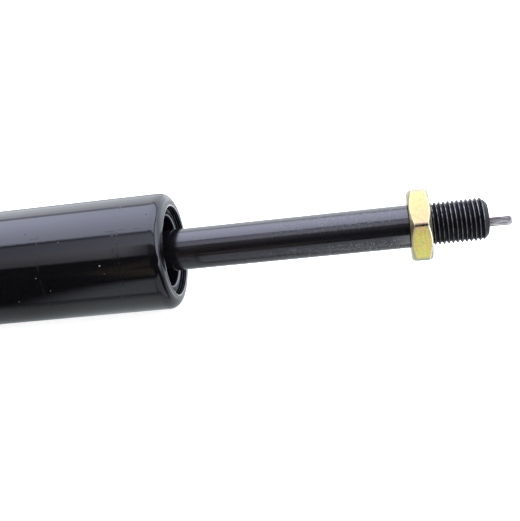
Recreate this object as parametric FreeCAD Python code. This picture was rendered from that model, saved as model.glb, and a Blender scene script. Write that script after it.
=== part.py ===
"""A lockable gas spring: a steel cylinder, a hollow rod, and a valve in the piston that a release pin opens.

The spring lies along X with its rod towards +X, and is drawn fully extended. The origin is on the axis, in
the seat face of the end plug, where the stud leaves the cylinder. Nitrogen fills the space between the end
plug and the floating piston, and oil fills the space on both sides of the piston. Threads are plain
cylinders of the thread's outer diameter.
"""

import FreeCAD, Part
import math
import os

# Cylinder: a steel tube whose two ends are rolled inwards
tube_od = 28.0
tube_length = 147.3
tube_wall = 1.5
bend_radius = 0.9
lip_land = 0.9
lip_edge_radius = 0.25

# Travel and chambers
stroke = 50.0
rod_reserve = 5.75
oil_reserve = 4.0
stop_gap = 0.3

# Rod and the thread on its free end
rod_d = 10.0
rod_edge_chamfer = 0.3
thread_d = 9.88
thread_length = 17.3
thread_chamfer = 1.3
relief_depth = 0.25

# Release pin, which lies loose on the floor of the rod's bore
pin_d = 2.2
pin_bore_d = 4.4
pin_reach = 5.4
pin_tip_chamfer = 0.45

# Lock nut, whose countersink runs a little way over the end of the shaft
nut_across_flats = 16.0
nut_sides = 6
nut_corner_radius = 1.0
nut_height = 4.75
nut_face_d = 15.2
nut_overrun = 0.2
nut_countersink = 0.5
nut_chamfer_angle = 30.0

# Rod guide, its bush and the seal stack behind it
guide_length = 14.0
guide_face_width = 4.0
guide_rim_height = 0.25
guide_rim_width = 0.8
guide_pocket_depth = 3.5
guide_pocket_chamfer = 0.3
guide_lip_length = 1.0
guide_lip_gap = 0.3
bush_wall = 1.0
bush_length = 9.0
seal_length = 6.0
seal_outer_lip = 1.6
seal_inner_lip = 1.6
seal_groove_depth = 3.2
seal_groove_taper = 1.5
washer_thickness = 2.0
washer_hole_gap = 0.3

# End plug and its stud
plug_length = 12.0
plug_boss_height = 1.0
stud_d = 9.88
stud_length = 12.0
stud_relief_length = 1.5
stud_relief_depth = 0.8
stud_chamfer = 1.0
seat_recess_depth = 0.6
seat_recess_width = 0.7

# Piston, which is also the valve body
piston_head_length = 12.0
piston_hub_length = 10.0
piston_hub_wall = 4.5
piston_edge_chamfer = 0.5
piston_land = 1.5
band_width = 4.0
band_thickness = 1.2
spigot_d = 7.0
spigot_length = 5.0
spigot_end_gap = 0.1
valve_recess_depth = 3.6
valve_recess_gap = 0.8
cross_hole_d = 1.8
cross_hole_count = 4
cross_hole_offset = 1.2

# Valve tappet and the seal round its stem
stem_d = 3.0
stem_reach = 3.0
oil_way = 1.1
seat_height = 1.4
tappet_head_thickness = 2.8
tappet_seal_thickness = 0.6
stem_washer_thickness = 0.8

# Floating piston
float_length = 14.0
float_cup_depth = 9.0
float_wall = 4.4
float_ring_inset = 2.0

# Diameters of the O-ring sections
static_ring_section = 2.0
piston_ring_section = 2.4
float_ring_section = 2.0
stem_ring_section = 1.6

# Clearances, each between one face and its neighbour
static_gap = 0.05
seal_gap = 0.03
running_gap = 0.03
piston_gap = 0.15
pin_gap = 0.05
thread_gap = 0.06
groove_side_gap = 0.25

# Radii that follow from the driving dimensions
tube_r = tube_od / 2
bore_r = tube_r - tube_wall
rim_radius = bend_radius + tube_wall
mouth_r = tube_r - rim_radius - lip_land
rod_r = rod_d / 2
thread_r = thread_d / 2
pin_r = pin_d / 2
pin_bore_r = pin_bore_d / 2
pin_drop = pin_bore_r - pin_r - pin_gap
stem_r = stem_d / 2
spigot_r = spigot_d / 2
fixed_r = bore_r - static_gap
sliding_r = bore_r - piston_gap

# The floating piston gives way to the rod by the ratio of their areas
float_ratio = (rod_r / bore_r) ** 2

# Stations along X: the ends of the tube and the plug, back from the mouth to the gas, and out along the rod
x_seat = 0.0
x_base = x_seat + plug_boss_height
x_plug = x_base + tube_wall
x_gas = x_plug + plug_length
x_mouth = x_base + tube_length
x_lip = x_mouth - tube_wall
x_guide = x_lip - guide_length
x_seal = x_guide - seal_length
x_washer = x_seal - washer_thickness
x_rod = x_washer - stop_gap
x_hub = x_rod - piston_hub_length
x_piston = x_hub - piston_head_length
x_oil = x_piston - oil_reserve - stroke * (1 - float_ratio)
x_float = x_oil - float_length
x_shoulder = x_mouth + rod_reserve + stroke
x_nut = x_shoulder - nut_overrun
x_thread = x_nut + nut_height
x_rod_end = x_shoulder + thread_length
x_pin_tip = x_rod_end + pin_reach

# Stations of the valve inside the piston
x_seat_cone = x_piston + valve_recess_depth
seat_small_r = stem_r + oil_way
seat_large_r = seat_small_r + seat_height
valve_recess_r = seat_large_r + valve_recess_gap
x_oil_way = x_seat_cone + seat_height
x_spigot = x_rod - spigot_length
stem_pocket_length = stem_washer_thickness + stem_ring_section + 2 * seal_gap
stem_pocket_r = stem_r + 2 * seal_gap + stem_ring_section
x_stem_pocket = x_spigot - stem_pocket_length
x_stem_end = x_spigot + stem_reach

ORIGIN = FreeCAD.Vector(0, 0, 0)
AXIS = FreeCAD.Vector(1, 0, 0)
FULL_TURN = 360.0


def point(x, r):
    """A point of a turned outline: x along the axis, r out from it."""
    return FreeCAD.Vector(x, r, 0)


def bend(x, r, radius, start, end):
    """A round stretch of an outline, about (x, r), from one angle to another in degrees."""
    angles = [math.radians(a) for a in (start, (start + end) / 2, end)]
    return [point(x + radius * math.cos(a), r + radius * math.sin(a)) for a in angles]


def turned(outline):
    """A solid of revolution. The outline lists corners as (x, r), and bends, and closes on itself."""
    stretches = [item if isinstance(item, list) else [point(*item)] for item in outline]
    edges = []
    for before, stretch in zip(stretches[-1:] + stretches, stretches):
        edges.append(Part.LineSegment(before[-1], stretch[0]).toShape())
        if len(stretch) > 1:
            edges.append(Part.Arc(*stretch).toShape())
    face = Part.Face(Part.Wire(edges))
    return face.revolve(ORIGIN, AXIS, FULL_TURN)


def sleeve(x_from, x_to, inner_r, outer_r):
    """A plain round ring between two stations."""
    return turned([(x_from, inner_r), (x_from, outer_r), (x_to, outer_r), (x_to, inner_r)])


def groove_width(section):
    """The width of the groove that an O-ring of this section sits in."""
    return section + 2 * groove_side_gap


def bore_groove_r(section):
    """The radius of a groove's floor, for an O-ring that seals against the bore of the tube."""
    return bore_r - section - 2 * seal_gap


def bore_groove(x_middle, section, outer_r):
    """The three-sided notch that an O-ring groove cuts into an outline running towards +X."""
    half = groove_width(section) / 2
    floor = bore_groove_r(section)
    return [(x_middle - half, outer_r), (x_middle - half, floor),
            (x_middle + half, floor), (x_middle + half, outer_r)]


def bore_ring(x_middle, section):
    """An O-ring between a groove's floor and the bore of the tube."""
    middle_r = bore_r - seal_gap - section / 2
    return Part.makeTorus(middle_r, section / 2, point(x_middle, 0), AXIS)


def pressure_tube():
    """The steel tube, with both ends bent inwards by a quarter turn to hold the plug and the guide."""
    bend_r = tube_r - rim_radius
    edge_r = mouth_r + lip_edge_radius
    return turned([
        bend(x_mouth - rim_radius, bend_r, rim_radius, 0, 90),
        bend(x_base + rim_radius, bend_r, rim_radius, 90, 180),
        bend(x_base + lip_edge_radius, edge_r, lip_edge_radius, 180, 270),
        (x_plug, mouth_r),
        bend(x_plug + bend_radius, bend_r, bend_radius, 180, 90),
        bend(x_lip - bend_radius, bend_r, bend_radius, 90, 0),
        (x_lip, mouth_r),
        bend(x_mouth - lip_edge_radius, edge_r, lip_edge_radius, 270, 360),
    ])


def end_plug():
    """The plug that closes the cylinder: a boss through the rolled end, and a stud in a round recess."""
    boss_r = mouth_r - static_gap
    stud_r = stud_d / 2
    stud_end = x_seat - stud_length
    stud_neck = x_seat - stud_relief_length
    neck_r = stud_r - stud_relief_depth
    recess_r = stud_r + seat_recess_width
    x_recess = x_seat + seat_recess_depth
    corner = bend_radius + static_gap
    return turned([
        (stud_end, 0),
        (stud_end, stud_r - stud_chamfer),
        (stud_end + stud_chamfer, stud_r),
        (stud_neck, stud_r),
        (stud_neck + stud_relief_depth / 2, neck_r),
        (x_recess, neck_r),
        (x_recess, recess_r),
        (x_seat, recess_r),
        (x_seat, boss_r),
        (x_plug, boss_r),
        bend(x_plug + corner, fixed_r - corner, corner, 180, 90),
        *bore_groove(x_plug + plug_length / 2, static_ring_section, fixed_r),
        (x_gas - piston_edge_chamfer, fixed_r),
        (x_gas, fixed_r - piston_edge_chamfer),
        (x_gas, 0),
    ])


def rod_guide():
    """The turned guide behind the rolled mouth: an open pocket with a raised rim, and a seat for the bush."""
    pocket_r = fixed_r - guide_face_width
    rim_inner_r = pocket_r + guide_pocket_chamfer
    rim_outer_r = rim_inner_r + guide_rim_width
    x_rim = x_lip + guide_rim_height
    x_pocket = x_lip - guide_pocket_depth
    bush_seat_r = rod_r + running_gap + bush_wall + seal_gap
    x_bush = x_guide + guide_lip_length
    corner = bend_radius + static_gap
    return turned([
        (x_guide, rod_r + guide_lip_gap),
        (x_guide, fixed_r - piston_edge_chamfer),
        (x_guide + piston_edge_chamfer, fixed_r),
        *bore_groove(x_guide + guide_length / 2, static_ring_section, fixed_r),
        bend(x_lip - corner, fixed_r - corner, corner, 90, 0),
        (x_lip, rim_outer_r),
        (x_rim, rim_outer_r),
        (x_rim, rim_inner_r),
        (x_rim - guide_pocket_chamfer, pocket_r),
        (x_pocket, pocket_r),
        (x_pocket, bush_seat_r),
        (x_bush, bush_seat_r),
        (x_bush, rod_r + guide_lip_gap),
    ])


def guide_bush():
    """The plain bearing bush that the rod runs in."""
    inner_r = rod_r + running_gap
    x_bush = x_guide + guide_lip_length
    return sleeve(x_bush, x_bush + bush_length, inner_r, inner_r + bush_wall)


def rod_seal():
    """The grooved seal ring, one lip on the bore and one on the rod, open towards the pressure."""
    inner_r = rod_r + seal_gap
    groove_outer_r = fixed_r - seal_outer_lip
    groove_inner_r = inner_r + seal_inner_lip
    x_floor = x_seal + seal_groove_depth
    return turned([
        (x_guide, inner_r),
        (x_guide, fixed_r),
        (x_seal, fixed_r),
        (x_seal, groove_outer_r),
        (x_floor, groove_outer_r - seal_groove_taper),
        (x_floor, groove_inner_r + seal_groove_taper),
        (x_seal, groove_inner_r),
        (x_seal, inner_r),
    ])


def seal_washer():
    """The steel disc that backs the seal and stops the piston at full extension."""
    return sleeve(x_washer, x_seal, rod_r + washer_hole_gap, fixed_r)


def piston_rod():
    """The hollow rod: a spigot for the piston, the shaft, a relief under the nut, and the thread."""
    x_inner = x_spigot + spigot_end_gap
    return turned([
        (x_inner, pin_bore_r),
        (x_inner, spigot_r - static_gap),
        (x_rod, spigot_r - static_gap),
        (x_rod, rod_r - rod_edge_chamfer),
        (x_rod + rod_edge_chamfer, rod_r),
        (x_shoulder - rod_edge_chamfer, rod_r),
        (x_shoulder, rod_r - rod_edge_chamfer),
        (x_shoulder, thread_r - relief_depth),
        (x_thread, thread_r - relief_depth),
        (x_thread, thread_r),
        (x_rod_end - thread_chamfer, thread_r),
        (x_rod_end, thread_r - thread_chamfer),
        (x_rod_end, pin_bore_r),
    ])


def lock_nut():
    """A thin hexagon nut with rounded corners, chamfered on both faces, run back to the end of the thread."""
    corner_r = nut_across_flats / 2 / math.cos(math.pi / nut_sides)
    turns = [2 * math.pi * number / nut_sides for number in range(nut_sides)]
    outline = [FreeCAD.Vector(x_nut, corner_r * math.sin(a), corner_r * math.cos(a)) for a in turns]
    hexagon = Part.Face(Part.makePolygon(outline + outline[:1])).extrude(AXIS * nut_height)
    long_edges = [e for e in hexagon.Edges if abs(e.Vertexes[0].X - e.Vertexes[-1].X) > nut_height / 2]
    hexagon = hexagon.makeFillet(nut_corner_radius, long_edges)
    face_r = nut_face_d / 2
    drop = (corner_r - face_r) * math.tan(math.radians(nut_chamfer_angle))
    bore_r_nut = thread_r + thread_gap
    mouth_r_nut = bore_r_nut + nut_countersink
    envelope = turned([
        (x_nut, mouth_r_nut),
        (x_nut, face_r),
        (x_nut + drop, corner_r),
        (x_thread - drop, corner_r),
        (x_thread, face_r),
        (x_thread, mouth_r_nut),
        (x_thread - nut_countersink, bore_r_nut),
        (x_nut + nut_countersink, bore_r_nut),
    ])
    return hexagon.common(envelope)


def release_pin():
    """The long wire pin through the rod, from the valve's tappet to its chamfered tip."""
    pin = turned([
        (x_stem_end, 0),
        (x_stem_end, pin_r),
        (x_pin_tip - pin_tip_chamfer, pin_r),
        (x_pin_tip, pin_r - pin_tip_chamfer),
        (x_pin_tip, 0),
    ])
    pin.translate(FreeCAD.Vector(0, 0, -pin_drop))
    return pin


def piston_seal_station():
    """The middle of the piston's O-ring groove, between the guide band and the hub."""
    x_after_band = x_piston + piston_land + band_width + 2 * groove_side_gap
    return (x_after_band + x_hub) / 2


def piston():
    """The valve body: a head with two ring grooves, and a hub with the oil ways and the seat."""
    hub_r = spigot_r + piston_hub_wall
    band_floor_r = bore_r - running_gap - band_thickness - static_gap
    x_band = x_piston + piston_land
    x_band_end = x_band + band_width + 2 * groove_side_gap
    body = turned([
        (x_piston, valve_recess_r),
        (x_piston, sliding_r - piston_edge_chamfer),
        (x_piston + piston_edge_chamfer, sliding_r),
        (x_band, sliding_r),
        (x_band, band_floor_r),
        (x_band_end, band_floor_r),
        (x_band_end, sliding_r),
        *bore_groove(piston_seal_station(), piston_ring_section, sliding_r),
        (x_hub, sliding_r),
        (x_hub, hub_r),
        (x_rod - piston_edge_chamfer, hub_r),
        (x_rod, hub_r - piston_edge_chamfer),
        (x_rod, spigot_r),
        (x_spigot, spigot_r),
        (x_spigot, stem_pocket_r),
        (x_stem_pocket, stem_pocket_r),
        (x_stem_pocket, seat_small_r),
        (x_oil_way, seat_small_r),
        (x_seat_cone, seat_large_r),
        (x_seat_cone, valve_recess_r),
    ])
    x_hole = x_hub + cross_hole_offset
    for number in range(cross_hole_count):
        angle = math.radians(FULL_TURN * number / cross_hole_count)
        outwards = FreeCAD.Vector(0, math.cos(angle), math.sin(angle))
        hole = Part.makeCylinder(cross_hole_d / 2, hub_r + tube_wall, point(x_hole, 0), outwards)
        body = body.cut(hole)
    return body


def piston_seal():
    """The O-ring that parts the oil on the two sides of the piston."""
    return bore_ring(piston_seal_station(), piston_ring_section)


def piston_guide_band():
    """The low-friction band that keeps the piston off the bore."""
    outer_r = bore_r - running_gap
    x_from = x_piston + piston_land + groove_side_gap
    return sleeve(x_from, x_from + band_width, outer_r - band_thickness, outer_r)


def stem_seal():
    """The O-ring round the tappet's stem, which keeps the oil out of the rod."""
    middle_r = stem_r + seal_gap + stem_ring_section / 2
    x_middle = x_spigot - seal_gap - stem_ring_section / 2
    return Part.makeTorus(middle_r, stem_ring_section / 2, point(x_middle, 0), AXIS)


def stem_seal_washer():
    """The thin washer that the stem's O-ring rests on."""
    x_to = x_stem_pocket + stem_washer_thickness
    return sleeve(x_stem_pocket, x_to, stem_r + static_gap, stem_pocket_r - static_gap)


def cone_station(r, behind=0.0):
    """Where the tappet's cone has radius r: just off the seat's 45 degree cone, or some way behind it."""
    return x_seat_cone + (seat_large_r - r) - (seal_gap + behind) * math.sqrt(2)


def tappet_seal_ends():
    """The outer and inner radius of the rubber cone on the tappet."""
    return seat_large_r - tappet_seal_thickness / 2, seat_small_r - oil_way / 2


def valve_tappet():
    """The stem that the pin pushes, and the head that closes the oil way, stepped for its rubber cone."""
    outer_r, inner_r = tappet_seal_ends()
    head_end = cone_station(outer_r)
    return turned([
        (head_end - tappet_head_thickness, 0),
        (head_end - tappet_head_thickness, outer_r),
        (cone_station(outer_r, tappet_seal_thickness), outer_r),
        (cone_station(inner_r, tappet_seal_thickness), inner_r),
        (cone_station(inner_r), inner_r),
        (cone_station(stem_r), stem_r),
        (x_stem_end, stem_r),
        (x_stem_end, 0),
    ])


def tappet_seal():
    """The rubber cone moulded on the tappet's head, which closes on the seat."""
    outer_r, inner_r = tappet_seal_ends()
    return turned([
        (cone_station(outer_r, tappet_seal_thickness), outer_r),
        (cone_station(outer_r), outer_r),
        (cone_station(inner_r), inner_r),
        (cone_station(inner_r, tappet_seal_thickness), inner_r),
    ])


def float_ring_stations():
    """The middles of the two ring grooves of the floating piston."""
    inset = float_ring_inset + groove_width(float_ring_section) / 2
    return x_float + inset, x_oil - inset


def floating_piston():
    """The cup that parts the gas from the oil, open towards the gas."""
    first, second = float_ring_stations()
    cup_r = sliding_r - float_wall
    return turned([
        (x_float, cup_r),
        (x_float, sliding_r - piston_edge_chamfer),
        (x_float + piston_edge_chamfer, sliding_r),
        *bore_groove(first, float_ring_section, sliding_r),
        *bore_groove(second, float_ring_section, sliding_r),
        (x_oil - piston_edge_chamfer, sliding_r),
        (x_oil, sliding_r - piston_edge_chamfer),
        (x_oil, 0),
        (x_float + float_cup_depth, 0),
        (x_float + float_cup_depth, cup_r),
    ])


def floating_piston_o_rings():
    """The two O-rings of the floating piston."""
    return Part.makeCompound([bore_ring(x, float_ring_section) for x in float_ring_stations()])


PIECES = {
    "pressure_tube": pressure_tube,
    "end_plug": end_plug,
    "end_plug_o_ring": lambda: bore_ring(x_plug + plug_length / 2, static_ring_section),
    "rod_guide": rod_guide,
    "guide_bush": guide_bush,
    "guide_o_ring": lambda: bore_ring(x_guide + guide_length / 2, static_ring_section),
    "rod_seal": rod_seal,
    "seal_washer": seal_washer,
    "piston_rod": piston_rod,
    "lock_nut": lock_nut,
    "release_pin": release_pin,
    "piston": piston,
    "piston_seal": piston_seal,
    "piston_guide_band": piston_guide_band,
    "stem_seal": stem_seal,
    "stem_seal_washer": stem_seal_washer,
    "valve_tappet": valve_tappet,
    "tappet_seal": tappet_seal,
    "floating_piston": floating_piston,
    "floating_piston_o_rings": floating_piston_o_rings,
}


def main():
    os.makedirs("parts", exist_ok=True)
    for name, make in PIECES.items():
        shape = make()
        shape.exportStep(f"parts/{name}.step")
        print(f"{name}: {len(shape.Solids)} solid, valid {shape.isValid()}, {shape.Volume:.1f} mm3")
    print(f"mouth {x_mouth:.2f}, shoulder {x_shoulder:.2f}, rod end {x_rod_end:.2f}, tip {x_pin_tip:.2f}")


main()
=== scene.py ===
"""Studio look of a lockable gas spring: painted cylinder, black threaded rod, zinc nut and release pin.

Pieces are worked out in millimetres, and finishes, lights and the camera's place are in metres. The axis is
X, and angles round it run from +Y towards +Z.
"""

import math
from functools import reduce

import bpy
import numpy as np
from mathutils import Matrix, Vector


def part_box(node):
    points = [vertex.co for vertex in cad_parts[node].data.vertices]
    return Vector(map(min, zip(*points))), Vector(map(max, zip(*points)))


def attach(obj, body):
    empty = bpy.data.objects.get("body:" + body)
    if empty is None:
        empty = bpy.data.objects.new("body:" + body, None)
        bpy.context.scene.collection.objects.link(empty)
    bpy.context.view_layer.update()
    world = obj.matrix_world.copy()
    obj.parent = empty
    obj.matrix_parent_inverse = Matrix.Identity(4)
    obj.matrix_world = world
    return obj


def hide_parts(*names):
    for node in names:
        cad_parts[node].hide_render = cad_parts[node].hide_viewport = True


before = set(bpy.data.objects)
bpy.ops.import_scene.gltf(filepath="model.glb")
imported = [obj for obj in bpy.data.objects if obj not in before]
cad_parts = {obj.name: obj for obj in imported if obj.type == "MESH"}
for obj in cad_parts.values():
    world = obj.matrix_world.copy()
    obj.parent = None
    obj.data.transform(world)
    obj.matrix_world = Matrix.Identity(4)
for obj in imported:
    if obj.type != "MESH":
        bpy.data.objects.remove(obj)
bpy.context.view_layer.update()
scene = bpy.context.scene
MM = 0.001
deg = math.radians

# Stations and radii of the solids, in mm


def span(node):
    """First and last station of a solid along the axis."""
    low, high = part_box(node)
    return low.x / MM, high.x / MM


TUBE_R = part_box("pressure_tube")[1].z / MM
TUBE_START, TUBE_END = span("pressure_tube")
ROD_START, ROD_END = span("piston_rod")
ROD_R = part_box("piston_rod")[1].z / MM
NUT_START, NUT_END = span("lock_nut")
NUT_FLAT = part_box("lock_nut")[1].y / MM
GUIDE_START, GUIDE_END = span("rod_guide")
GUIDE_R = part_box("rod_guide")[1].z / MM
PLUG_START, PLUG_END = span("end_plug")
PIN_START, PIN_END = span("release_pin")
PIN_LOW, PIN_HIGH = (corner.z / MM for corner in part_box("release_pin"))
PIN_R = (PIN_HIGH - PIN_LOW) / 2
PIN_DROP = -(PIN_HIGH + PIN_LOW) / 2

# Sizes that the boxes of the solids do not tell, in mm

TUBE_WALL = 1.5
BEND = 0.9
RIM = BEND + TUBE_WALL
LIP_REACH = 0.9
LIP_EDGE = 0.25
MOUTH_R = TUBE_R - RIM - LIP_REACH
BURR = 0.16
FIT = 0.05
SEAT_CHAMFER = BEND + FIT
END_CHAMFER = 0.5
EDGE_BREAK = 0.3
GROOVE_WIDTH = 2.5
GROOVE_DEPTH = 2.01
POCKET_WALL = 4
POCKET_DEPTH = 3.5
POCKET_RIM = 1.1
RIM_HEIGHT = 0.25
BUSH_WALL = 1.06
THREAD_LENGTH = 17.3
THREAD_CHAMFER = 1.3
SHOULDER = ROD_END - THREAD_LENGTH
SPIGOT = 4.9
SPIGOT_R = 3.45
BORE_R = 2.2
STUD_LENGTH = 12
STUD_THREAD = 10.5
STUD_CHAMFER = 1.0
STUD_NECK_R = 4.14
PLUG_BOSS = 2.5
PITCH = 1.0
CREST_R = 4.94
ROOT_R = 4.33
CREST_BAND = 0.2
NUT_FACE_R = 7.6
CORNER_CUT = 0.06

# Where in its pitch a thread starts, and how many points a bent corner has

PHASE = 0.25
CORNER_POINTS = 7

# Outlines: each is a list of (x, r) points, in the order in which a lathe tool would follow the piece


def corners(points, cut):
    """Bends each corner of an outline: a parabola between the two points that lie one cut away from it.

    A further point on each side, a quarter of a cut away, keeps the shading of the flat parts flat.
    """
    points = np.array(points, float)
    before = np.roll(points, 1, 0) - points
    after = np.roll(points, -1, 0) - points
    before *= cut / np.linalg.norm(before, axis=1, keepdims=True)
    after *= cut / np.linalg.norm(after, axis=1, keepdims=True)
    s = np.linspace(0, 1, CORNER_POINTS - 2)[None, :, None]
    bent = points[:, None] + (1 - s) ** 2 * before[:, None] + s**2 * after[:, None]
    first = (points + 1.25 * before)[:, None]
    last = (points + 1.25 * after)[:, None]
    return np.concatenate([first, bent, last], 1).reshape(-1, 2)


def open_corners(points, cut=CORNER_CUT):
    """Bends the corners of an open outline. Its first and last points only give directions."""
    return corners(points, cut)[CORNER_POINTS:-CORNER_POINTS]


def ring_groove(middle, outer_r):
    """The four corners of an O-ring's groove."""
    first, last = middle - GROOVE_WIDTH / 2, middle + GROOVE_WIDTH / 2
    floor_r = outer_r - GROOVE_DEPTH
    return [(first, outer_r), (first, floor_r), (last, floor_r), (last, outer_r)]


def arc(x, r, radius, start, end, count):
    """A round stretch of an outline, about (x, r), from one angle to another in degrees."""
    a = np.radians(np.linspace(start, end, count))
    return np.stack([x + radius * np.cos(a), r + radius * np.sin(a)], 1)


def rows(outline, columns):
    """The same outline at every angle, as two grids: station along the axis, and distance from it."""
    outline = np.array(outline)
    return [np.repeat(outline[:, k : k + 1], columns, 1) for k in (0, 1)]


def tooth(phase):
    """Height of a thread's tooth, 0 at its root and 1 at its crest, from the place in the pitch, 0 to 1.

    Straight flanks between a narrow crest and a narrow root, averaged over a short stretch to round them.
    """
    half_root, flank, rounding = 0.06, 0.37, 0.05
    spread = np.linspace(-rounding, rounding, 5)
    away = np.abs((phase[..., None] + spread) % 1 - 0.5)
    return np.clip((away - half_root) / flank, 0, 1).mean(-1)


def ease(x, start, end):
    """Rises smoothly from 0 at start to 1 at end."""
    t = np.clip((x - start) / (end - start), 0, 1)
    return t * t * (3 - 2 * t)


# Meshes


def make_piece(name, x, r, angle, closed, shift=0.0):
    """A turned piece: grid point (i, j) lies at station x[i, j], r[i, j] out from the axis, towards angle[j].

    The whole piece moves by shift in Z. A closed outline comes back to its first row, and an open one starts
    and ends on the axis, at a pole.
    """
    count = x.shape[1]
    grid = np.stack([x, r * np.cos(angle), r * np.sin(angle) + shift], -1)
    index = np.arange(x.size).reshape(x.shape)
    points = grid.reshape(-1, 3)
    near = index if closed else index[:-1]
    far = np.roll(index, -1, 0)[: len(near)]
    quads = np.stack([near, np.roll(near, -1, 1), np.roll(far, -1, 1), far], -1).reshape(-1, 4)
    a, b, c, d = (points[quads[:, k]] for k in range(4))
    volume = (np.cross(a, b) * c).sum() + (np.cross(a, c) * d).sum()
    caps = []
    if not closed:
        ends = np.array([[x[0, 0], 0, shift], [x[-1, 0], 0, shift]])
        points = np.concatenate([points, ends])
        first, last = index.size, index.size + 1
        turn = np.roll(index, -1, 1)
        caps = [np.stack([np.full(count, first), turn[0], index[0]], -1),
                np.stack([np.full(count, last), index[-1], turn[-1]], -1)]
    faces = [quads, *caps]
    if volume < 0:
        faces = [f[:, ::-1] for f in faces]
    mesh = bpy.data.meshes.new(name)
    mesh.from_pydata((points * MM).tolist(), [], [f for group in faces for f in group.tolist()])
    mesh.shade_smooth()
    piece = bpy.data.objects.new(name, mesh)
    scene.collection.objects.link(piece)
    return piece


def mark(piece, name, values):
    """Stores one number per point of a piece, for its finish to read. Poles get the last row's value."""
    flat = np.asarray(values, np.float32).ravel()
    count = len(piece.data.vertices)
    flat = np.concatenate([flat, np.full(count - len(flat), flat[-1], np.float32)])
    piece.data.attributes.new(name, "FLOAT", "POINT").data.foreach_set("value", flat)


def second_finish(piece, first, last, columns):
    """Gives the faces between two rows of a piece its second finish."""
    index = np.zeros(len(piece.data.polygons), np.int32)
    index[first * columns : last * columns] = 1
    piece.data.polygons.foreach_set("material_index", index)


def round_angles(columns):
    """Angles of the columns, evenly round the axis."""
    return np.linspace(0, 2 * np.pi, columns, endpoint=False)


def cylinder_tube():
    """Tube with both ends rolled in: straight walls and quarter-circle bends, the lips a little uneven.

    A burr, round in section, stands on the inner edge of the mouth. It is rubbed to metal, partly wear and
    partly a painted highlight line, and flattened on the near side. Behind it, metal lines from the shearing
    run round the edge of the wall, partly painted highlight lines too.
    """
    angle = round_angles(192)
    bend_r = TUBE_R - RIM
    edge_r = MOUTH_R + LIP_EDGE
    first, last = TUBE_START, TUBE_END
    wall = RIM + 0.2
    outside = np.concatenate([
        arc(last - RIM, bend_r, RIM, 0, 90, 17),
        [[last - wall, TUBE_R], [first + wall, TUBE_R]],
        arc(first + RIM, bend_r, RIM, 90, 180, 17),
        arc(first + LIP_EDGE, edge_r, LIP_EDGE, 180, 270, 7),
        open_corners([(first, MOUTH_R), (first + TUBE_WALL, MOUTH_R), (first + TUBE_WALL, bend_r)]),
        arc(first + RIM, bend_r, BEND, 180, 90, 7),
        arc(last - RIM, bend_r, BEND, 90, 0, 7),
    ])
    shear_and_highlight_lines = last - 1.1, last - 0.45
    line_half, line_bare_and_highlight = 0.07, 0.6
    inside = np.concatenate([
        open_corners([(last - TUBE_WALL, bend_r), (last - TUBE_WALL, MOUTH_R), (last, MOUTH_R)]),
        [[at + step, MOUTH_R] for at in shear_and_highlight_lines for step in (-line_half, 0, line_half)],
        [[last - 0.1, MOUTH_R]],
    ])
    burr = np.concatenate([
        arc(last - 0.02, MOUTH_R + BURR, BURR, 270, 400, 11),
        [[last, MOUTH_R + out] for out in (0.38, 0.46)],
    ])
    x, r = rows(np.concatenate([outside, inside, burr]), len(angle))
    worn_side = deg(142)
    wear_and_highlight_mask = 1 - ease(np.abs(angle - worn_side), deg(14), deg(26))
    # Metal at the burr and along the shear lines: partly wear, partly painted highlight; none on the
    # flattened near side
    bare_and_painted_highlight = (x > last - 0.06) * (r < MOUTH_R + 1.5 * BURR) * (1 - wear_and_highlight_mask)
    for at in shear_and_highlight_lines:
        bare_and_painted_highlight += line_bare_and_highlight * (x == at) * (r < edge_r)
    x = np.minimum(x, last + (x - last) * (1 - 0.95 * wear_and_highlight_mask))
    lip = 1 - ease(r, MOUTH_R + 0.1, MOUTH_R + LIP_REACH)
    waves = 0.025 * np.cos(3 * angle + 0.6) + 0.015 * np.cos(7 * angle + 2.1)
    r = r + lip * waves
    piece = make_piece("cylinder_tube", x, r, angle, True)
    mark(piece, "bare_and_painted_highlight", bare_and_painted_highlight)
    second_finish(piece, len(outside), len(outside) + len(inside), len(angle))
    return piece


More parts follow.
